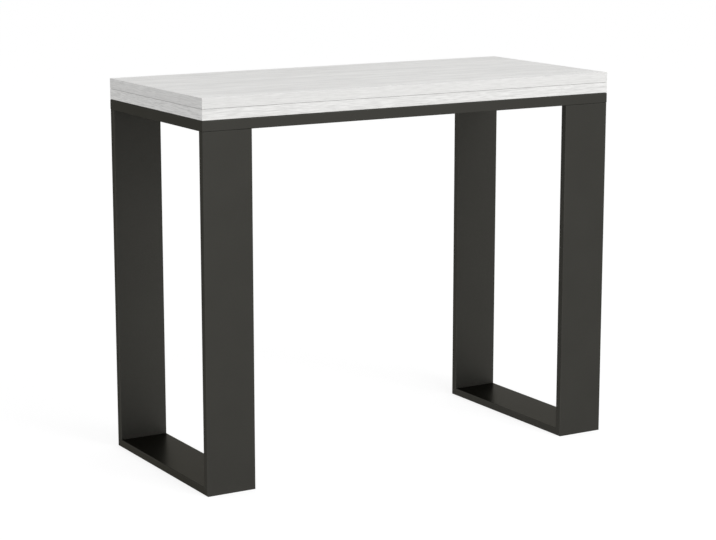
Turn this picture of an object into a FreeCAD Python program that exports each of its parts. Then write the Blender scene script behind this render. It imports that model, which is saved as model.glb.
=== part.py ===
# Console table with a folding, sliding top. Two stacked leaves are hinged along their back edge.
# The top slides forward by half its depth on two guides, then the upper leaf folds back to double it.
# Millimetres. X runs along the table, -Y is its front, +Z is up. The origin is on the floor at its centre.
import FreeCAD
import Part
import math
import os
from FreeCAD import Vector

# Overall sizes
top_length = 900.0
top_depth = 400.0
leg_height = 677.0  # floor to the underside of the rim

# Leaves: faced board with a glued edging strip on each side
leaf_thickness = 20.0
leaf_seam = 0.5  # gap between the stacked leaves, held by the bumpers
open_joint_gap = 0.8  # gap between the leaves' edges once the top is open
edging_thickness = 1.0
arris_radius = 0.5
bumper_radius = 4.0
bumper_inset = 18.0  # bumper's centre from the leaf's front and end edges

# Rim: four mitred rectangular tubes
rim_width = 40.0
rim_height = 20.0
tube_wall = 1.5
tube_corner_radius = 1.5

# Legs: bands of flat tube, mitred into a U that closes under the rim
leg_band_width = 100.0
leg_band_thickness = 15.0
cap_plate_thickness = 5.0

# Bolts from the rim down into the cap plates
bolt_radius = 2.5
bolt_head_radius = 4.25
bolt_head_height = 5.0
bolt_length = 14.0
bolt_edge_inset = 22.0  # bolt's middle from the upright's side
bolt_socket_across_flats = 4.0
bolt_socket_depth = 2.5
bolt_hole_clearance = 0.3

# Glide pads on the rim, under the sliding leaf
glide_pad_radius = 8.0
glide_pad_thickness = 0.5
glide_pad_leg_gap = 50.0  # outer pad's middle from the leg beside it
glide_pads_per_rail = 3

# Guides: slotted channels across the rim, and the shoes that run in them
guide_leg_gap = 105.0  # between a channel and the leg beside it
guide_width = 40.0
guide_slot_width = 18.0
shoe_clearance = 0.5
shoe_body_height = 12.0
shoe_end_chamfer = 2.0
shoe_screw_radius = 2.0
shoe_screw_head_radius = 4.0
shoe_screw_head_height = 2.5
shoe_screw_bite = 12.0  # into the leaf
shoe_screw_inset = 20.0  # screw's middle from the shoe's end
guide_access_radius = 5.0

# Hinges on the back edges
hinge_names = ("left", "middle", "right")
hinge_end_inset = 130.0  # outer hinge's middle from the leaf's end
hinge_length = 60.0
hinge_wing_reach = 14.0  # from the pin's axis to the wing's far edge
hinge_wing_thickness = 1.2
hinge_wing_corner_radius = 2.0
knuckle_radius = 2.5
knuckle_end_gap = 0.3
knuckle_clearance = 0.3
pin_radius = 1.25
pin_clearance = 0.05
mortise_clearance = 0.15
hinge_screws_per_wing = 3
hinge_screw_inset = 10.0  # outer screw's middle from the wing's end
hinge_screw_radius = 1.4
hinge_screw_head_radius = 2.6
hinge_screw_length = 15.0

# Screws
screw_clearance = 0.05
screw_tip_length = 3.0
cross_slot_length = 2.6
cross_slot_width = 0.6
cross_slot_depth = 0.6

# How far a cutting tool reaches past the face that it cuts
overrun = 1.0

# Levels and lines that several pieces share
rim_bottom = leg_height
rim_top = rim_bottom + rim_height
lower_leaf_bottom = rim_top + glide_pad_thickness
lower_leaf_top = lower_leaf_bottom + leaf_thickness
upper_leaf_bottom = lower_leaf_top + leaf_seam
upper_leaf_top = upper_leaf_bottom + leaf_thickness
back_edge = top_depth / 2
hinge_axis_y = back_edge + open_joint_gap / 2
hinge_axis_z = lower_leaf_top + leaf_seam / 2
rim_inner_back = top_depth / 2 - rim_width
slide_travel = top_depth / 2
shoe_length = 2 * rim_inner_back - slide_travel - 2 * shoe_clearance
shoe_middle_y = rim_inner_back - shoe_clearance - shoe_length / 2
bolt_line_y = (top_depth - leg_band_thickness) / 2
leg_middle_x = (top_length - leg_band_width) / 2
leg_inner_x = top_length / 2 - leg_band_width
guide_middle_x = leg_inner_x - guide_leg_gap - guide_width / 2
hinge_screw_drop = (knuckle_radius + knuckle_clearance + hinge_wing_reach) / 2  # from the pin's axis
tube_inner_radius = max(tube_corner_radius - tube_wall, 0)

along_x = Vector(1, 0, 0)
along_y = Vector(0, 1, 0)
along_z = Vector(0, 0, 1)

pieces = {}


# General shapes

def block(x_span, y_span, z_span):
    """Box between two values on each axis."""
    low = Vector(x_span[0], y_span[0], z_span[0])
    return Part.makeBox(x_span[1] - x_span[0], y_span[1] - y_span[0], z_span[1] - z_span[0], low)


def around(middle, size):
    """Span of that size about a middle."""
    return (middle - size / 2, middle + size / 2)


def prism(corners, along):
    """Solid from a flat outline, drawn out by a vector."""
    return Part.Face(Part.makePolygon(corners + corners[:1])).extrude(along)


def rod(radius, start, direction, length):
    """Round bar from a point along a direction."""
    return Part.makeCylinder(radius, length, start, direction)


def cone(start_radius, end_radius, start, direction, length):
    """Tapered round bar from a point along a direction."""
    return Part.makeCone(start_radius, end_radius, length, start, direction)


def rounded_bar(width, height, radius, length):
    """Bar of rounded rectangular section along Z, centred on the Z axis, from Z = 0."""
    bar = Part.makeBox(width, height, length, Vector(-width / 2, -height / 2, 0))
    if radius > 0:
        long_edges = [e for e in bar.Edges if abs(e.tangentAt(e.FirstParameter).z) > 0.5]
        bar = bar.makeFillet(radius, long_edges)
    return bar


def tube(width, height, length):
    """Rectangular tube along Z, centred on the Z axis, from Z = 0."""
    outside = rounded_bar(width, height, tube_corner_radius, length)
    inside = rounded_bar(width - 2 * tube_wall, height - 2 * tube_wall, tube_inner_radius, length)
    return outside.cut(inside)


def laid(shape, x_axis, y_axis, origin):
    """Shape with its own X and Y turned onto two world axes, moved to an origin."""
    z_axis = x_axis.cross(y_axis)
    turn = FreeCAD.Matrix(
        x_axis.x, y_axis.x, z_axis.x, origin.x,
        x_axis.y, y_axis.y, z_axis.y, origin.y,
        x_axis.z, y_axis.z, z_axis.z, origin.z,
        0, 0, 0, 1,
    )
    return shape.transformed(turn)


def joined(shapes):
    """One shape from overlapping ones."""
    return shapes[0].multiFuse(shapes[1:]).removeSplitter()


def keep(name, solids):
    """Files one piece, or a group of like pieces, under its name."""
    pieces[name] = Part.Compound(solids) if len(solids) > 1 else solids[0]


def evenly(count, reach):
    """Places of that many items, evenly spread from -reach to +reach."""
    return [reach * (2 * i / (count - 1) - 1) for i in range(count)]


# Fasteners

def cross_slot(head_face, direction):
    """Cutter for a cross slot in a screw's head, along the screw's direction."""
    depth = cross_slot_depth + overrun
    arm = Part.makeBox(
        cross_slot_length, cross_slot_width, depth,
        Vector(-cross_slot_length / 2, -cross_slot_width / 2, -overrun),
    )
    other_arm = arm.copy()
    other_arm.rotate(Vector(0, 0, 0), along_z, 90)
    cutter = arm.fuse(other_arm)
    return laid(cutter, along_x, direction.cross(along_x), head_face)


def pointed_shank(radius, start, direction, length):
    """Plain shank that ends in a point."""
    straight = length - screw_tip_length
    tip_start = start + direction * straight
    return joined([
        rod(radius, start, direction, straight),
        cone(radius, 0, tip_start, direction, screw_tip_length),
    ])


def hinge_screw(place):
    """Countersunk screw into a leaf's back edge; its head fills the wing's thickness."""
    inward = along_y * -1
    head = cone(hinge_screw_head_radius, hinge_screw_radius, place, inward, hinge_wing_thickness)
    seat = place + inward * hinge_wing_thickness
    shank = pointed_shank(hinge_screw_radius, seat, inward, hinge_screw_length - hinge_wing_thickness)
    return joined([head, shank]).cut(cross_slot(place, inward))


def shoe_screw(seat):
    """Cheese-head screw upward through a shoe into the leaf; the seat is under its head's flat side."""
    down = along_z * -1
    bottom = seat + down * shoe_screw_head_height
    length = lower_leaf_bottom - seat.z + shoe_screw_bite
    head = rod(shoe_screw_head_radius, bottom, along_z, shoe_screw_head_height)
    shank = pointed_shank(shoe_screw_radius, seat, along_z, length)
    return joined([head, shank]).cut(cross_slot(bottom, along_z))


def leg_bolt(seat):
    """Socket-head bolt downward; the seat is on the tube's lower wall, inside the rim."""
    down = along_z * -1
    head = rod(bolt_head_radius, seat, along_z, bolt_head_height)
    shank = rod(bolt_radius, seat, down, bolt_length)
    corner_radius = bolt_socket_across_flats / 2 / math.cos(math.pi / 6)
    top = seat + along_z * (bolt_head_height - bolt_socket_depth)
    corners = [
        top + Vector(math.cos(i * math.pi / 3), math.sin(i * math.pi / 3), 0) * corner_radius
        for i in range(6)
    ]
    socket = prism(corners, along_z * (bolt_socket_depth + overrun))
    return joined([head, shank]).cut(socket)


# Rim

def bolt_places():
    """Middles of the bolts on the underside of the rim."""
    return [
        Vector(side * leg_middle_x + offset, front * bolt_line_y, rim_bottom)
        for side in (-1, 1)
        for front in (-1, 1)
        for offset in evenly(2, leg_band_width / 2 - bolt_edge_inset)
    ]


def rim_long_rail(front):
    """Front or rear tube of the rim, mitred in plan, with the holes for the leg bolts."""
    middle_y = front * (top_depth - rim_width) / 2
    start = Vector(-top_length / 2, middle_y, rim_bottom + rim_height / 2)
    rail = laid(tube(rim_width, rim_height, top_length), along_y, along_z, start)
    outer_y = front * top_depth / 2
    inner_y = outer_y - front * rim_width
    mitre = prism(
        [
            Vector(-top_length / 2, outer_y, rim_bottom),
            Vector(top_length / 2, outer_y, rim_bottom),
            Vector(top_length / 2 - rim_width, inner_y, rim_bottom),
            Vector(-top_length / 2 + rim_width, inner_y, rim_bottom),
        ],
        along_z * rim_height,
    )
    holes = []
    for place in bolt_places():
        if place.y * front > 0:
            below = place - along_z * overrun
            access = place + along_z * (rim_height / 2)
            holes.append(rod(bolt_radius + bolt_hole_clearance, below, along_z, rim_height / 2))
            holes.append(rod(bolt_head_radius + bolt_hole_clearance, access, along_z, rim_height))
    return rail.common(mitre).cut(holes)


def rim_end_rail(side):
    """Left or right tube of the rim, mitred in plan."""
    middle_x = side * (top_length - rim_width) / 2
    start = Vector(middle_x, -top_depth / 2, rim_bottom + rim_height / 2)
    rail = laid(tube(rim_height, rim_width, top_depth), along_z, along_x, start)
    outer_x = side * top_length / 2
    inner_x = outer_x - side * rim_width
    mitre = prism(
        [
            Vector(outer_x, -top_depth / 2, rim_bottom),
            Vector(outer_x, top_depth / 2, rim_bottom),
            Vector(inner_x, top_depth / 2 - rim_width, rim_bottom),
            Vector(inner_x, -top_depth / 2 + rim_width, rim_bottom),
        ],
        along_z * rim_height,
    )
    return rail.common(mitre)


def glide_pads():
    """Low discs on the front and rear rails, on which the leaves slide and rest."""
    rail_y = (top_depth - rim_width) / 2
    return [
        rod(glide_pad_radius, Vector(x, front * rail_y, rim_top), along_z, glide_pad_thickness)
        for front in (-1, 1)
        for x in evenly(glide_pads_per_rail, leg_inner_x - glide_pad_leg_gap)
    ]


# Legs

def leg_upright(side, front):
    """Upright band, mitred at the floor."""
    middle = Vector(side * leg_middle_x, front * bolt_line_y, 0)
    band = laid(tube(leg_band_width, leg_band_thickness, leg_height), along_x, along_y, middle)
    outer_y = front * top_depth / 2
    inner_y = outer_y - front * leg_band_thickness
    left_x = side * leg_middle_x - leg_band_width / 2
    mitre = prism(
        [
            Vector(left_x, outer_y, 0),
            Vector(left_x, outer_y, leg_height),
            Vector(left_x, inner_y, leg_height),
            Vector(left_x, inner_y, leg_band_thickness),
        ],
        along_x * leg_band_width,
    )
    return band.common(mitre)


def leg_floor_bar(side):
    """Band on the floor between the two uprights, mitred at both ends."""
    start = Vector(side * leg_middle_x, -top_depth / 2, leg_band_thickness / 2)
    band = laid(tube(leg_band_thickness, leg_band_width, top_depth), along_z, along_x, start)
    left_x = side * leg_middle_x - leg_band_width / 2
    mitre = prism(
        [
            Vector(left_x, -top_depth / 2, 0),
            Vector(left_x, top_depth / 2, 0),
            Vector(left_x, top_depth / 2 - leg_band_thickness, leg_band_thickness),
            Vector(left_x, -top_depth / 2 + leg_band_thickness, leg_band_thickness),
        ],
        along_x * leg_band_width,
    )
    return band.common(mitre)


def cap_plate(side, front):
    """Tapped plate welded inside the top of an upright, flush with its end."""
    start = Vector(side * leg_middle_x, front * bolt_line_y, leg_height - cap_plate_thickness)
    width = leg_band_width - 2 * tube_wall
    depth = leg_band_thickness - 2 * tube_wall
    plate = laid(rounded_bar(width, depth, tube_inner_radius, cap_plate_thickness), along_x, along_y, start)
    holes = [
        rod(bolt_radius + screw_clearance, place - along_z * (cap_plate_thickness + overrun), along_z,
            cap_plate_thickness + 2 * overrun)
        for place in bolt_places()
        if place.x * side > 0 and place.y * front > 0
    ]
    return plate.cut(holes)


# Guides

def shoe_screw_places():
    """Middles of the shoe's screws along Y, with the top closed."""
    return [shoe_middle_y + offset for offset in evenly(2, shoe_length / 2 - shoe_screw_inset)]


def guide_channel(side):
    """Slotted channel welded across the rim, with holes below to reach the shoe's screws."""
    middle_x = side * guide_middle_x
    start = Vector(middle_x, -rim_inner_back, rim_bottom + rim_height / 2)
    channel = laid(tube(rim_height, guide_width, 2 * rim_inner_back), along_z, along_x, start)
    slot = block(
        around(middle_x, guide_slot_width),
        around(0, 2 * (rim_inner_back + overrun)),
        (rim_top - tube_wall - overrun, rim_top + overrun),
    )
    below = rim_bottom - overrun
    access = [
        rod(guide_access_radius, Vector(middle_x, y, below), along_z, tube_wall + 2 * overrun)
        for y in shoe_screw_places()
    ]
    return channel.cut([slot] + access)


def shoe_screw_seat():
    """Level of the screw heads' flat side, inside the shoe."""
    body_bottom = rim_top - tube_wall - shoe_clearance - shoe_body_height
    return body_bottom + shoe_screw_head_height + shoe_clearance


def slide_shoe(side):
    """T-shaped plastic shoe under the lower leaf; its wings run under the channel's lips."""
    middle_x = side * guide_middle_x
    body_top = rim_top - tube_wall - shoe_clearance
    body_bottom = body_top - shoe_body_height
    body_half = guide_width / 2 - tube_wall - shoe_clearance
    neck_half = guide_slot_width / 2 - shoe_clearance
    near = shoe_middle_y - shoe_length / 2
    outline = [
        Vector(middle_x - body_half, near, body_bottom),
        Vector(middle_x + body_half, near, body_bottom),
        Vector(middle_x + body_half, near, body_top),
        Vector(middle_x + neck_half, near, body_top),
        Vector(middle_x + neck_half, near, lower_leaf_bottom),
        Vector(middle_x - neck_half, near, lower_leaf_bottom),
        Vector(middle_x - neck_half, near, body_top),
        Vector(middle_x - body_half, near, body_top),
    ]
    shoe = prism(outline, along_y * shoe_length)
    body_corners = [
        e for e in shoe.Edges
        if abs(e.tangentAt(e.FirstParameter).z) > 0.5 and e.CenterOfMass.z < body_top
    ]
    shoe = shoe.makeChamfer(shoe_end_chamfer, body_corners)
    seat = shoe_screw_seat()
    cutters = []
    for y in shoe_screw_places():
        below = Vector(middle_x, y, body_bottom - overrun)
        through = lower_leaf_bottom + overrun - below.z
        cutters.append(rod(shoe_screw_head_radius + shoe_clearance, below, along_z, seat - below.z))
        cutters.append(rod(shoe_screw_radius + screw_clearance, below, along_z, through))
    return shoe.cut(cutters)


def shoe_screws():
    """The four screws that hold the shoes to the lower leaf."""
    return [
        shoe_screw(Vector(side * guide_middle_x, y, shoe_screw_seat()))
        for side in (-1, 1)
        for y in shoe_screw_places()
    ]


# Hinges. The lower leaf's half hangs below the pin's axis; the upper leaf's half is its mirror image.

def hinge_places():
    """Middles of the hinges along X."""
    return evenly(len(hinge_names), top_length / 2 - hinge_end_inset)


def hinge_rod(radius, x_span):
    """Round bar on the pin's axis between two places along X."""
    return rod(radius, Vector(x_span[0], hinge_axis_y, hinge_axis_z), along_x, x_span[1] - x_span[0])


def hinge_knuckle_spans(x):
    """The lower wing's two outer knuckles and the upper wing's middle one, along X."""
    third = hinge_length / 3
    outer_length = third - knuckle_end_gap / 2
    left = (x - hinge_length / 2, x - hinge_length / 2 + outer_length)
    right = (x + hinge_length / 2 - outer_length, x + hinge_length / 2)
    middle = around(x, third - knuckle_end_gap)
    return [left, right], [middle]


def wing_z_span(up, reach):
    """Height of a wing, from the leaf's inner face to its far edge."""
    near = hinge_axis_z + up * leaf_seam / 2
    far = hinge_axis_z + up * reach
    return (min(near, far), max(near, far))


def hinge_screw_places(x, up):
    """Middles of one wing's screws on the back edge."""
    z = hinge_axis_z + up * hinge_screw_drop
    offsets = evenly(hinge_screws_per_wing, hinge_length / 2 - hinge_screw_inset)
    return [Vector(x + offset, back_edge, z) for offset in offsets]


def hinge_wing(x, up):
    """One half of a hinge: a plate let into the leaf's back edge, with its knuckles and screw holes."""
    lower_knuckles, upper_knuckles = hinge_knuckle_spans(x)
    own, other = (upper_knuckles, lower_knuckles) if up > 0 else (lower_knuckles, upper_knuckles)
    plate = block(
        around(x, hinge_length),
        (back_edge - hinge_wing_thickness, back_edge),
        wing_z_span(up, hinge_wing_reach),
    )
    far_z = hinge_axis_z + up * hinge_wing_reach
    middle_z = (far_z + hinge_axis_z) / 2
    far_corners = [
        e for e in plate.Edges
        if abs(e.tangentAt(e.FirstParameter).y) > 0.5 and (e.CenterOfMass.z - middle_z) * up > 0
    ]
    plate = plate.makeFillet(hinge_wing_corner_radius, far_corners)
    gaps = []
    for start, end in other:
        span = (start - knuckle_end_gap, end + knuckle_end_gap)
        gaps.append(hinge_rod(knuckle_radius + knuckle_clearance, span))
    plate = plate.cut(gaps)
    wing = joined([plate] + [hinge_rod(knuckle_radius, span) for span in own])
    cutters = [hinge_rod(pin_radius + pin_clearance, around(x, hinge_length + 2 * overrun))]
    for place in hinge_screw_places(x, up):
        cutters.append(cone(
            hinge_screw_head_radius + screw_clearance, hinge_screw_radius + screw_clearance,
            place, along_y * -1, hinge_wing_thickness,
        ))
    return wing.cut(cutters)


def hinge_recess(up):
    """Cutters for one leaf's mortises, knuckle clearances and screw holes."""
    cutters = []
    for x in hinge_places():
        x_span = around(x, hinge_length + 2 * mortise_clearance)
        mortise = block(
            x_span,
            (back_edge - hinge_wing_thickness, back_edge + overrun),
            wing_z_span(up, hinge_wing_reach + mortise_clearance),
        )
        cutters.append(mortise)
        cutters.append(hinge_rod(knuckle_radius + knuckle_clearance, x_span))
        bore = hinge_screw_radius + screw_clearance
        for place in hinge_screw_places(x, up):
            cutters.append(rod(bore, place, along_y * -1, hinge_screw_length))
    return cutters


# Leaves

def leaf(name, bottom, up):
    """One leaf: its board and four edging strips, with the hinge mortises and screw holes."""
    x_span = around(0, top_length)
    y_span = around(0, top_depth)
    z_span = (bottom, bottom + leaf_thickness)
    whole = block(x_span, y_span, z_span)
    whole = whole.makeFillet(arris_radius, whole.Edges)
    whole = whole.cut(hinge_recess(up))
    if up < 0:
        whole = whole.cut([
            rod(shoe_screw_radius + screw_clearance, Vector(side * guide_middle_x, y, bottom),
                along_z, shoe_screw_bite)
            for side in (-1, 1)
            for y in shoe_screw_places()
        ])
    core_x = around(0, top_length - 2 * edging_thickness)
    core_y = around(0, top_depth - 2 * edging_thickness)
    keep(name + "_board", [whole.common(block(core_x, core_y, z_span))])
    keep(name + "_front_edging", [whole.common(block(x_span, (y_span[0], core_y[0]), z_span))])
    keep(name + "_back_edging", [whole.common(block(x_span, (core_y[1], y_span[1]), z_span))])
    keep(name + "_left_edging", [whole.common(block((x_span[0], core_x[0]), core_y, z_span))])
    keep(name + "_right_edging", [whole.common(block((core_x[1], x_span[1]), core_y, z_span))])


def leaf_bumpers():
    """Thin discs near the lower leaf's front corners, which keep the leaves apart."""
    x = top_length / 2 - bumper_inset
    y = -top_depth / 2 + bumper_inset
    return [rod(bumper_radius, Vector(side * x, y, lower_leaf_top), along_z, leaf_seam) for side in (-1, 1)]


# The whole table

def build():
    """Makes every piece and files it under its name."""
    keep("front_rail", [rim_long_rail(-1)])
    keep("rear_rail", [rim_long_rail(1)])
    for side, side_name in ((-1, "left"), (1, "right")):
        keep(side_name + "_end_rail", [rim_end_rail(side)])
        keep(side_name + "_leg_front_upright", [leg_upright(side, -1)])
        keep(side_name + "_leg_rear_upright", [leg_upright(side, 1)])
        keep(side_name + "_leg_floor_bar", [leg_floor_bar(side)])
        keep(side_name + "_leg_cap_plates", [cap_plate(side, front) for front in (-1, 1)])
        keep(side_name + "_guide_channel", [guide_channel(side)])
        keep(side_name + "_slide_shoe", [slide_shoe(side)])
    keep("leg_bolts", [leg_bolt(place + along_z * tube_wall) for place in bolt_places()])
    keep("glide_pads", glide_pads())
    keep("shoe_screws", shoe_screws())
    leaf("lower_leaf", lower_leaf_bottom, -1)
    leaf("upper_leaf", upper_leaf_bottom, 1)
    keep("leaf_bumpers", leaf_bumpers())
    for x, place_name in zip(hinge_places(), hinge_names):
        keep(place_name + "_hinge_lower_wing", [hinge_wing(x, -1)])
        keep(place_name + "_hinge_upper_wing", [hinge_wing(x, 1)])
        keep(place_name + "_hinge_pin", [hinge_rod(pin_radius, around(x, hinge_length))])
    for up, leaf_name in ((-1, "lower"), (1, "upper")):
        screws = [hinge_screw(place) for x in hinge_places() for place in hinge_screw_places(x, up)]
        keep(leaf_name + "_hinge_screws", screws)


def write():
    """Writes one STEP file for each piece."""
    os.makedirs("parts", exist_ok=True)
    for name, shape in pieces.items():
        if not shape.isValid():
            print("not valid:", name)
        shape.exportStep(os.path.join("parts", name + ".step"))
    print("pieces:", len(pieces), " solids:", sum(len(s.Solids) for s in pieces.values()))
    print("height closed:", upper_leaf_top, " pin axis y, z:", hinge_axis_y, hinge_axis_z)


build()
write()
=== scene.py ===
import bpy
import bmesh
import math
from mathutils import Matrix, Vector


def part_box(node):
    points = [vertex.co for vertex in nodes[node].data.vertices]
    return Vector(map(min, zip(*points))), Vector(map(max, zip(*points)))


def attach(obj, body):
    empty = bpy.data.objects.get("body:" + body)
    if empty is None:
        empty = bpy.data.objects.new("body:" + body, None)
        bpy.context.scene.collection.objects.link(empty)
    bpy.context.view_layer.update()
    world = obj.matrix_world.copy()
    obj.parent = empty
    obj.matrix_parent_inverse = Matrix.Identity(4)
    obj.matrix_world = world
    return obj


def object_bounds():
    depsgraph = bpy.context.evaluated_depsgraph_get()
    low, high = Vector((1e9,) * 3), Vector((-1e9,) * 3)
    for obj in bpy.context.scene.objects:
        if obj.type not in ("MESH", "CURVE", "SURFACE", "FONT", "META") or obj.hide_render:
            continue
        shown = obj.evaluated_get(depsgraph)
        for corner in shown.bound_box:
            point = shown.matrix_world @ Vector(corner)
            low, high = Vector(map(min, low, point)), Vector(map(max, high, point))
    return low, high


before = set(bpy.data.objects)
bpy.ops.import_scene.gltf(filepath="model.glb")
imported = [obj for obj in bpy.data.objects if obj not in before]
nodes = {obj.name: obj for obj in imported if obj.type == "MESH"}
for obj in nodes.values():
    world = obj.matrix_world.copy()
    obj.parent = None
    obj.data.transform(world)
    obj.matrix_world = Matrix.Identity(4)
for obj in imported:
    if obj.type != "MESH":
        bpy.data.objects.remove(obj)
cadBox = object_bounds()


class Wire:  # one socket of a finish, so that masks can be written as plain sums
    def __init__(self, recipe, socket):
        self.recipe = recipe
        self.socket = socket

    def maths(self, operation, *terms):
        return self.recipe.add("ShaderNodeMath", {"operation": operation}, dict(enumerate(terms)))

    def __add__(self, other):
        return self.maths("ADD", self, other)

    def __radd__(self, other):
        return self.maths("ADD", other, self)

    def __sub__(self, other):
        return self.maths("SUBTRACT", self, other)

    def __rsub__(self, other):
        return self.maths("SUBTRACT", other, self)

    def __mul__(self, other):
        return self.maths("MULTIPLY", self, other)

    def __rmul__(self, other):
        return self.maths("MULTIPLY", other, self)

    def __pow__(self, power):
        return self.maths("POWER", self, power)

    def __rpow__(self, base):
        return self.maths("POWER", base, self)

    def __abs__(self):
        return self.maths("ABSOLUTE", self)

    def fraction(self):
        return self.maths("FRACT", self)

    def smaller(self, other):
        return self.maths("MINIMUM", self, other)

    def larger(self, other):
        return self.maths("MAXIMUM", self, other)

    def rise(self, low, high):  # 0 below low, 1 above high, smooth between
        return self.recipe.add(
            "ShaderNodeMapRange",
            {"interpolation_type": "SMOOTHSTEP"},
            {"Value": self, "From Min": low, "From Max": high},
        )


cloudSpacing = 7.3  # from one cloud of noise to the next, so that no two line up
cloudMiddle = 0.5
colourMix = {"amount": 0, "first": 6, "second": 7, "result": 2}  # the Mix node's sockets for colours


class Recipe:  # the nodes of one finish
    def __init__(self, owner, shift=0.0):
        owner.use_nodes = True
        self.owner = owner
        self.tree = owner.node_tree
        self.tree.nodes.clear()
        self.shift = shift

    def add(self, kind, settings, sockets, out=0):
        node = self.tree.nodes.new(kind)
        for setting, value in settings.items():
            setattr(node, setting, value)
        for key, value in sockets.items():
            if isinstance(value, Wire):
                self.tree.links.new(value.socket, node.inputs[key])
            else:
                node.inputs[key].default_value = value
        if isinstance(out, tuple):
            return [Wire(self, node.outputs[each]) for each in out]
        if len(node.outputs):
            return Wire(self, node.outputs[out])

    def axes(self, place):
        return self.add("ShaderNodeSeparateXYZ", {}, {"Vector": place}, ("X", "Y", "Z"))

    def cloud(self, place, perMetre, detail=2.0, rough=0.5):  # noise about zero, stretched by axis
        if not isinstance(perMetre, tuple):
            perMetre = (perMetre, perMetre, perMetre)
        self.shift += cloudSpacing
        spread = self.add(
            "ShaderNodeVectorMath",
            {"operation": "MULTIPLY_ADD"},
            {0: place, 1: perMetre, 2: (self.shift, self.shift, self.shift)},
        )
        noise = {"Vector": spread, "Scale": 1.0, "Detail": detail, "Roughness": rough}
        return self.add("ShaderNodeTexNoise", {}, noise, "Fac") - cloudMiddle

    def tint(self, amount, first, second):  # a colour between two
        sockets = {colourMix["amount"]: amount, colourMix["first"]: first, colourMix["second"]: second}
        return self.add("ShaderNodeMix", {"data_type": "RGBA"}, sockets, colourMix["result"])

    def relief(self, height, depth):
        return self.add("ShaderNodeBump", {}, {"Height": height, "Distance": depth}, "Normal")

    def surface(self, values):
        shader = self.add("ShaderNodeBsdfPrincipled", {}, values)
        self.add("ShaderNodeOutputMaterial", {}, {"Surface": shader})
        return self.owner


def startFinish(name, shift=0.0):  # a new material, with the place on its piece in metres
    recipe = Recipe(bpy.data.materials.new(name), shift)
    return recipe, recipe.add("ShaderNodeTexCoord", {}, {}, "Object")


def weigh(marks, weights):  # each mark times its weight, added up
    return sum(marks[kind] * weight for kind, weight in weights.items())


def layers(recipe, look, marks):  # a colour between two, roughness and relief, each varied by the marks
    first, second = look["colours"]
    return {
        "Base Color": recipe.tint(look["mean"] + weigh(marks, look["colourBy"]), first, second),
        "Roughness": look["roughness"] + weigh(marks, look["roughnessBy"]),
        "Normal": recipe.relief(weigh(marks, look["heightBy"]), look["depth"]),
        **look["sameAllOver"],
    }


def growMarks(recipe, place, look):
    return {kind: recipe.cloud(place, perMetre) for kind, perMetre in look["perMetre"].items()}


def plainFinish(name, look):  # a finish of clouds alone
    recipe, place = startFinish(name)
    return recipe.surface(layers(recipe, look, growMarks(recipe, place, look)))


def edgeDistance(axes, low, high):  # metres from the nearest edge of a box, on the box's faces
    depths = []
    for wire, start, end in zip(axes, low, high):
        if start * end > 0:  # one of a mirrored pair
            start, end = sorted((abs(start), abs(end)))
            wire = abs(wire)
        depths.append((end - start) / 2 - abs(wire - (start + end) / 2))
    first, second, third = depths
    return first.smaller(second).larger(first.larger(second).smaller(third))  # the middle one


def coat(pieceNames, finish):
    for pieceName in pieceNames:
        for slot in nodes[pieceName].material_slots:
            slot.material = finish


def boxAround(pieceNames):
    lows, highs = zip(*(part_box(pieceName) for pieceName in pieceNames))
    return Vector(min(values) for values in zip(*lows)), Vector(max(values) for values in zip(*highs))


# Pale ash leaves: printed board faces, and a printed strip glued round each leaf
ashPrint = {
    "colours": ((0.86, 0.856, 0.842, 1), (0.60, 0.597, 0.585, 1)),  # pale wood, dark grain
    "coreAndSheen": (0.89, 0.886, 0.874, 1),  # the strip's plain plastic, where it is cut or scraped; at the rounded arris it is also a painted highlight
    "printDepth": (0.0001, 0.0003),  # into a strip, from where to where its print gives way to the plain core and its painted highlight
    "glue": (0.42, 0.41, 0.39, 1),
    "glueWidth": 0.00012,
    "glueCover": 0.7,
    "poreBand": (0.10, 0.24),  # how much of the finest mark opens as pores
    "roughness": 0.50,
    "roughnessBy": {"pore": 0.12, "fibre": 0.10},
    "heightBy": {"pore": -1.0, "fibre": 0.35, "glue": -0.8},
    "depth": 0.00009,
    "sameAllOver": {"Specular IOR Level": 0.35},
}
ashMarks = {  # of each mark: number per metre along the grain and across it, detail, roughness of the noise
    "tone": (1.0, 9.0, 2.0, 0.5),
    "band": (3.0, 30.0, 3.0, 0.5),
    "wobble": (2.0, 11.0, 3.0, 0.5),
    "streak": (5.0, 90.0, 4.0, 0.6),
    "fleck": (14.0, 75.0, 3.0, 0.5),
    "dash": (34.0, 310.0, 3.0, 0.6),
    "tick": (40.0, 800.0, 2.0, 0.5),
    "fibre": (24.0, 900.0, 2.0, 0.5),
    "pore": (60.0, 1700.0, 1.0, 0.5),
}
ashRings = {
    "heart": 0.055,  # where the arches of the grain stand, across the board
    "across": 620.0,  # per square metre
    "along": 4.5,
    "wobble": 4.0,
    "sharpness": 4,
    "band": (-0.15, 0.2),  # where the tone lets the rings show
}
ashKinds = {  # the marks that each surface has
    "face": ("tone", "band", "wobble", "streak", "fleck", "dash", "fibre", "pore"),
    "strip": ("streak", "tick", "fibre", "pore"),
}
ashFigure = {  # how much each mark darkens the print
    "face": {"band": 0.8, "streak": 0.6, "fleck": 0.9, "dash": 0.5, "ring": 0.35, "pore": 0.35},
    "strip": {"streak": 0.3, "tick": 2.0, "pore": 0.3},
}
leafPrints = {  # mean is a print's place between pale and dark, strength that of its figure
    "upper_leaf": {
        "shift": 0.0,
        "face": {"mean": 0.37, "strength": 0.85},
        "longStrip": {"mean": 0.37, "strength": 0.45},
        "endStrip": {"mean": 0.34, "strength": 0.75},
    },
    "lower_leaf": {
        "shift": 410.0,
        "face": {"mean": 0.37, "strength": 0.85},
        "longStrip": {"mean": 0.30, "strength": 1.05},
        "endStrip": {"mean": 0.21, "strength": 1.30},
    },
}
leafSides = ("front", "back", "left", "right")


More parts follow.
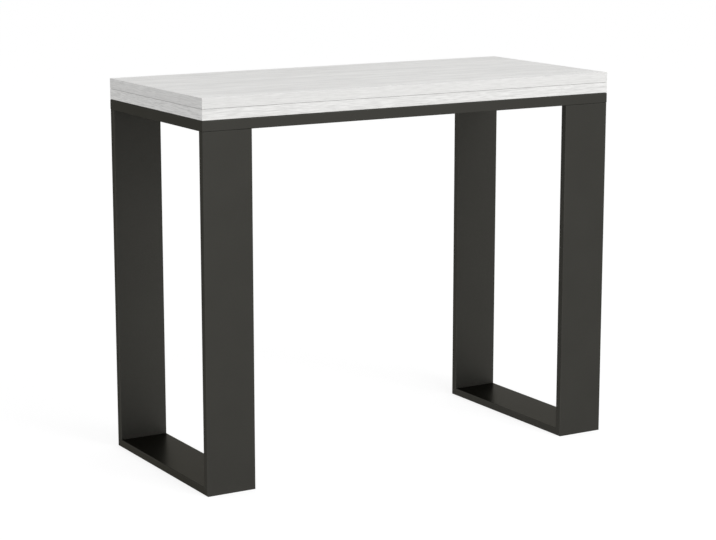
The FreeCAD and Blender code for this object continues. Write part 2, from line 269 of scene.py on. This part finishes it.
def ashLook(leaf, surface, kind):
    look = leafPrints[leaf][surface]
    figure = {mark: weight * look["strength"] for mark, weight in ashFigure[kind].items()}
    return dict(ashPrint, mean=look["mean"], colourBy=figure)


def ashGrain(recipe, run, kinds):  # marks of the grain, along the first axis of run
    marks = {}
    for kind in kinds:
        along, across, detail, rough = ashMarks[kind]
        marks[kind] = recipe.cloud(run, (along, across, across), detail, rough)
    marks["pore"] = marks["pore"].rise(*ashPrint["poreBand"])
    return marks


def ashLayers(recipe, look, marks, inset, stripWidth):  # the print, with the glue line at the strip's back
    glue = 1 - abs(inset - stripWidth).rise(0, look["glueWidth"])
    values = layers(recipe, look, dict(marks, glue=glue))
    values["Base Color"] = recipe.tint(glue * look["glueCover"], values["Base Color"], look["glue"])
    return values


def ashFace(leaf, leafBox, stripWidth):  # a board, with arched grain along its length
    recipe, place = startFinish(leaf + "_face", leafPrints[leaf]["shift"])
    x, y = recipe.axes(place)[:2]
    marks = ashGrain(recipe, place, ashKinds["face"])
    fromHeart = y - ashRings["heart"]
    arches = ashRings["across"] * fromHeart * fromHeart + ashRings["along"] * x
    rings = (arches + ashRings["wobble"] * marks["wobble"]).fraction() ** ashRings["sharpness"]
    marks["ring"] = rings * marks["tone"].rise(*ashRings["band"])
    high = leafBox[1]
    inset = (high.x - abs(x)).smaller(high.y - abs(y))
    return recipe.surface(ashLayers(recipe, ashLook(leaf, "face", "face"), marks, inset, stripWidth))


def ashStrip(leaf, leafBox, stripWidth, acrossTable):  # an edging strip, with grain along it
    surface = "endStrip" if acrossTable else "longStrip"
    recipe, place = startFinish(leaf + "_" + surface, leafPrints[leaf]["shift"])
    x, y, z = recipe.axes(place)
    along, through = (y, x) if acrossTable else (x, y)
    run = recipe.add("ShaderNodeCombineXYZ", {}, {"X": along, "Y": through, "Z": z})
    marks = ashGrain(recipe, run, ashKinds["strip"])
    high = leafBox[1]
    inset = (high.x if acrossTable else high.y) - abs(through)
    bareAndSheen = inset.rise(*ashPrint["printDepth"])
    marks["pore"] = marks["pore"] * (1 - bareAndSheen)
    values = ashLayers(recipe, ashLook(leaf, surface, "strip"), marks, inset, stripWidth)
    # the plain core on the strip's cut edge and rounded arris, lighter than the print: partly a painted
    # highlight
    coreAndSheen = bareAndSheen * (stripWidth - inset).rise(0, ashPrint["glueWidth"])
    values["Base Color"] = recipe.tint(coreAndSheen, values["Base Color"], ashPrint["coreAndSheen"])
    return recipe.surface(values)


for leaf in leafPrints:
    strips = [leaf + "_" + side + "_edging" for side in leafSides]
    leafBox = boxAround(strips)
    frontLow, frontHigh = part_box(strips[0])
    stripWidth = frontHigh.y - frontLow.y
    coat([leaf + "_board"], ashFace(leaf, leafBox, stripWidth))
    coat(strips[:2], ashStrip(leaf, leafBox, stripWidth, False))
    coat(strips[2:], ashStrip(leaf, leafBox, stripWidth, True))
    print("pale ash on", leaf)

# Anthracite powder coat on the steel: a satin metallic pigment with fine flecks
anthraciteCoat = {
    "colours": ((0.0468, 0.0457, 0.0408, 1), (0.0688, 0.0674, 0.0602, 1)),  # pigment, and a lighter colour for flecks, for thin coat and for a painted highlight along edges
    "mean": 0.16,
    "colourBy": {"fleck": 0.5, "grit": 0.4, "tone": 0.4, "edge": 0.5},
    "roughness": 0.56,
    "roughnessBy": {"tone": 0.08, "fleck": -0.06},
    "heightBy": {"peel": 0.8, "grit": 0.2},
    "depth": 0.00005,
    "perMetre": {"tone": 13.0, "peel": 330.0, "grit": 1500.0},
    "fleckBand": (0.06, 0.22),  # how much of the grit shines as flecks
    "edgeWidth": 0.0022,
    "edgeBand": (-0.3, 0.2),  # where the tone lets an edge show
    "sameAllOver": {"Metallic": 1.0, "Specular Tint": (0.42, 0.415, 0.40, 1)},
}
floorBarCoatPaintedShade = dict(  # the floor bars' coat: smoother, and with darker colours and edge tint that paint the shade and dim reflections near the floor
    anthraciteCoat,
    # darker copies of the coat's colours: painted shade near the floor
    colours=((0.0366, 0.0357, 0.0319, 1), (0.055, 0.0538, 0.048, 1)),
    roughness=0.33,
    sameAllOver={"Metallic": 1.0, "Specular Tint": (0.475, 0.47, 0.455, 1)},
)


def powderCoat(name, pieceBox, look):
    recipe, place = startFinish(name)
    marks = growMarks(recipe, place, look)
    marks["fleck"] = marks["grit"].rise(*look["fleckBand"])
    # edges lighter: partly thinner coat, partly a painted highlight along the rounded corners
    edge = 1 - edgeDistance(recipe.axes(place), *pieceBox).rise(0, look["edgeWidth"])
    marks["edge"] = edge * marks["tone"].rise(*look["edgeBand"])
    return recipe.surface(layers(recipe, look, marks))


tableSides = ("left", "right")
coatedPieces = {
    "uprightCoat": [side + "_leg_" + end + "_upright" for side in tableSides for end in ("front", "rear")],
    "floorBarCoatPaintedShade": ["left_leg_floor_bar", "right_leg_floor_bar"],
    "longRailCoat": ["front_rail", "rear_rail"],
    "endRailCoat": ["left_end_rail", "right_end_rail"],
    "guideCoat": ["left_guide_channel", "right_guide_channel"],
}
for finishName, pieceNames in coatedPieces.items():
    # the floor bars get the darker copy of the coat, with its painted shade
    look = floorBarCoatPaintedShade if finishName == "floorBarCoatPaintedShade" else anthraciteCoat
    coat(pieceNames, powderCoat(finishName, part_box(pieceNames[-1]), look))
print("powder coat on", sum(len(names) for names in coatedPieces.values()), "steel pieces")

# Hinges, screws and bolts
satinHinge = {
    "colours": ((0.45, 0.44, 0.42, 1), (0.29, 0.283, 0.27, 1)),  # bright, dull
    "mean": 0.45,
    "colourBy": {"line": 0.5, "wear": 0.4},
    "roughness": 0.30,
    "roughnessBy": {"line": 0.20, "wear": 0.12},
    "heightBy": {"line": 1.0},
    "depth": 0.00001,
    "perMetre": {"line": (55.0, 4200.0, 4200.0), "wear": 60.0},  # fine lines along the pin
    "sameAllOver": {"Metallic": 1.0},
}
zincScrew = {  # cloudy bright zinc
    "colours": ((0.62, 0.64, 0.67, 1), (0.45, 0.46, 0.47, 1)),  # bright, dull
    "mean": 0.5,
    "colourBy": {"cloudy": 1.0},
    "roughness": 0.36,
    "roughnessBy": {"cloudy": 0.25},
    "heightBy": {"grit": 1.0},
    "depth": 0.00001,
    "perMetre": {"cloudy": 420.0, "grit": 3600.0},
    "sameAllOver": {"Metallic": 1.0},
}
hingePlaces = ("left", "middle", "right")
hingeParts = ("lower_wing", "upper_wing", "pin")
hingePieces = [place + "_hinge_" + part for place in hingePlaces for part in hingeParts]
coat(hingePieces, plainFinish("satinHinge", satinHinge))
zincPieces = ["leg_bolts", "shoe_screws", "lower_hinge_screws", "upper_hinge_screws",
              "left_leg_cap_plates", "right_leg_cap_plates"]
coat(zincPieces, plainFinish("zincScrew", zincScrew))
print("metal on", len(hingePieces), "hinge pieces and", len(zincPieces), "sets of screws and plates")

# Slide shoes, glide pads and bumpers
shoeNylon = {
    "colours": ((0.022, 0.022, 0.024, 1), (0.05, 0.05, 0.052, 1)),  # moulded, rubbed
    "mean": 0.0,
    "colourBy": {"rubbed": 0.7, "grain": 0.4},
    "roughness": 0.46,
    "roughnessBy": {"rubbed": -0.12, "grain": 0.10},
    "heightBy": {"rubbed": -0.3, "grain": 1.0},
    "depth": 0.00002,
    "perMetre": {"rub": (900.0, 14.0, 900.0), "grain": 1500.0},  # long rub marks, along the slide
    "rubBand": (-0.05, 0.25),
    "sameAllOver": {},
}
glidePad = dict(
    shoeNylon,
    colours=((0.74, 0.725, 0.69, 1), (0.58, 0.565, 0.54, 1)),
    roughness=0.42,
    depth=0.00001,
)
clearBumper = {  # clear soft discs, a little hazy
    "colours": ((0.80, 0.81, 0.80, 1), (0.66, 0.67, 0.66, 1)),  # clear, hazy
    "mean": 0.5,
    "colourBy": {"haze": 1.0},
    "roughness": 0.28,
    "roughnessBy": {"haze": 0.2},
    "heightBy": {"haze": 1.0},
    "depth": 0.00001,
    "perMetre": {"haze": 260.0},
    "sameAllOver": {"Transmission Weight": 0.55, "IOR": 1.47},
}


def slidingPlastic(name, look):  # moulded plastic with rub marks
    recipe, place = startFinish(name)
    marks = growMarks(recipe, place, look)
    marks["rubbed"] = marks["rub"].rise(*look["rubBand"])
    return recipe.surface(layers(recipe, look, marks))


coat(["left_slide_shoe", "right_slide_shoe"], slidingPlastic("shoeNylon", shoeNylon))
coat(["glide_pads"], slidingPlastic("glidePad", glidePad))
coat(["leaf_bumpers"], plainFinish("clearBumper", clearBumper))
print("plastic on shoes, pads and bumpers")

# Weld beads where the guide channels meet the rails, coated with the frame
weldBead = {
    "radius": 0.0017,
    "ripple": 0.00022,
    "rippleLength": 0.0021,
    "blunt": 0.05,  # what is left of the section at each end, where the bead dies away
    "belowTop": 0.005,  # from the channel's top down to the ends
    "step": 0.0005,
    "sides": 12,
}


def beadMesh(name, path, square):  # a rippled tube along a path; square is at right angles to the path
    sides = weldBead["sides"]
    turns = [2 * math.pi * corner / sides for corner in range(sides)]
    bm = bmesh.new()
    rings = []
    travelled = 0.0
    last = len(path) - 1
    for index, point in enumerate(path):
        before, after = path[max(index - 1, 0)], path[min(index + 1, last)]
        aside = square.cross((after - before).normalized())
        if index:
            travelled += (point - before).length
        toEnd = min(index, last - index) * weldBead["step"]
        taper = math.sqrt(min(1.0, toEnd / weldBead["radius"] + weldBead["blunt"]))
        swell = abs(math.sin(math.pi * travelled / weldBead["rippleLength"]))
        radius = (weldBead["radius"] + weldBead["ripple"] * swell) * taper
        spokes = [math.cos(turn) * square + math.sin(turn) * aside for turn in turns]
        rings.append([bm.verts.new(point + radius * spoke) for spoke in spokes])
    for ring, following in zip(rings, rings[1:]):
        for corner in range(sides):
            beside = (corner + 1) % sides
            bm.faces.new((ring[corner], ring[beside], following[beside], following[corner]))
    bm.faces.new(rings[0][::-1])
    bm.faces.new(rings[-1])
    bmesh.ops.recalc_face_normals(bm, faces=bm.faces)
    mesh = bpy.data.meshes.new(name)
    bm.to_mesh(mesh)
    bm.free()
    mesh.polygons.foreach_set("use_smooth", [True] * len(mesh.polygons))
    return mesh


def walk(corners):  # points a step apart along straight runs
    points = [corners[0]]
    for start, end in zip(corners, corners[1:]):
        count = max(1, round((end - start).length / weldBead["step"]))
        points += [start.lerp(end, (index + 1) / count) for index in range(count)]
    return points


def guideWeldPath(channel, faceY):  # down one side of a channel, under it and up the other side
    low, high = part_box(channel)
    turnIn = weldBead["radius"]
    top = high.z - weldBead["belowTop"]
    corners = [(low.x, top), (low.x, low.z + turnIn), (low.x + turnIn, low.z),
               (high.x - turnIn, low.z), (high.x, low.z + turnIn), (high.x, top)]
    return walk([Vector((x, faceY, z)) for x, z in corners])


channelRun = Vector((0, 1, 0))  # the channels run from front to back
weldCoat = powderCoat("weldCoat", boxAround(coatedPieces["longRailCoat"]), anthraciteCoat)
for side in tableSides:
    channel = side + "_guide_channel"
    low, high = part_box(channel)
    for end, faceY in (("front", low.y), ("rear", high.y)):
        name = side + "_guide_" + end + "_weld"
        bead = bpy.data.objects.new(name, beadMesh(name, guideWeldPath(channel, faceY), channelRun))
        bpy.context.scene.collection.objects.link(bead)
        bead.data.materials.append(weldCoat)
        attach(bead, "frame")
        print("weld bead", name)

# Studio: pale floor, soft sky and one large soft lamp in front
studio = {
    "sky": (0.66, 0.66, 0.662, 1),
    "white": (1.0, 1.0, 1.0, 1),
    "floorColour": (0.80, 0.80, 0.80, 1),
    "floorShade": (0.30, 0.30, 0.30, 1),  # how much of its light and shade the white floor shows
    "floorGlow": 0.80,
    "floorReach": 40.0,
}
keyLamp = {
    "turn": 12.0,  # degrees to the right of the front
    "rise": 36.0,
    "distance": 4.2,
    "size": 2.8,
    "power": 69.0,
}


def seenDirectly(recipe):  # 1 for what the camera sees, directly, mirrored or through something clear
    rays = ("Is Camera Ray", "Is Glossy Ray", "Is Transmission Ray")
    straight, mirrored, through = recipe.add("ShaderNodeLightPath", {}, {}, rays)
    return straight.larger(mirrored).larger(through)


def makeSky():
    world = bpy.data.worlds.new("softSky")
    bpy.context.scene.world = world
    recipe = Recipe(world)
    lit = recipe.add("ShaderNodeBackground", {}, {"Color": studio["sky"]})
    shown = recipe.add("ShaderNodeBackground", {}, {"Color": studio["white"]})
    mixed = recipe.add("ShaderNodeMixShader", {}, {0: seenDirectly(recipe), 1: lit, 2: shown})
    recipe.add("ShaderNodeOutputWorld", {}, {"Surface": mixed})


def makeFloor():
    reach = studio["floorReach"]
    corners = [(-reach, -reach, 0), (reach, -reach, 0), (reach, reach, 0), (-reach, reach, 0)]
    mesh = bpy.data.meshes.new("floor")
    mesh.from_pydata(corners, [], [(0, 1, 2, 3)])
    floor = bpy.data.objects.new("floor", mesh)
    bpy.context.scene.collection.objects.link(floor)
    recipe = Recipe(bpy.data.materials.new("paleFloor"))
    plain = recipe.add("ShaderNodeBsdfDiffuse", {}, {"Color": studio["floorColour"]})
    shade = recipe.add("ShaderNodeBsdfDiffuse", {}, {"Color": studio["floorShade"]})
    glow = recipe.add("ShaderNodeEmission", {}, {"Color": studio["white"], "Strength": studio["floorGlow"]})
    shown = recipe.add("ShaderNodeAddShader", {}, {0: shade, 1: glow})
    mixed = recipe.add("ShaderNodeMixShader", {}, {0: seenDirectly(recipe), 1: plain, 2: shown})
    recipe.add("ShaderNodeOutputMaterial", {}, {"Surface": mixed})
    mesh.materials.append(recipe.owner)


def makeLamp(name, look, aim):
    lamp = bpy.data.lights.new(name, "AREA")
    lamp.shape = "DISK"
    lamp.size = look["size"]
    lamp.energy = look["power"]
    holder = bpy.data.objects.new(name, lamp)
    bpy.context.scene.collection.objects.link(holder)
    turn, rise = math.radians(look["turn"]), math.radians(look["rise"])
    away = Vector((math.sin(turn) * math.cos(rise), -math.cos(turn) * math.cos(rise), math.sin(rise)))
    holder.location = aim + away * look["distance"]
    holder.rotation_euler = away.to_track_quat("Z", "Y").to_euler()
    holder.visible_camera = False


makeSky()
makeFloor()
makeLamp("keyLamp", keyLamp, (cadBox[0] + cadBox[1]) / 2)
print("studio lit")

# Camera at the photograph's place
photoCamera = {
    "place": (-2.0707, -3.4748, 1.1512),
    "heading": -30.68,  # degrees, turned from straight back
    "dip": 11.24,  # degrees, looking down
    "lens": 103.54,
    "sensor": 36.0,
}
lensData = bpy.data.cameras.new("photoCamera")
lensData.lens = photoCamera["lens"]
lensData.sensor_width = photoCamera["sensor"]
camera = bpy.data.objects.new("photoCamera", lensData)
camera.location = photoCamera["place"]
camera.rotation_euler = (math.radians(90 - photoCamera["dip"]), 0, math.radians(photoCamera["heading"]))
bpy.context.scene.collection.objects.link(camera)
bpy.context.scene.camera = camera
bpy.context.scene.view_settings.view_transform = "Standard"
print("camera set")
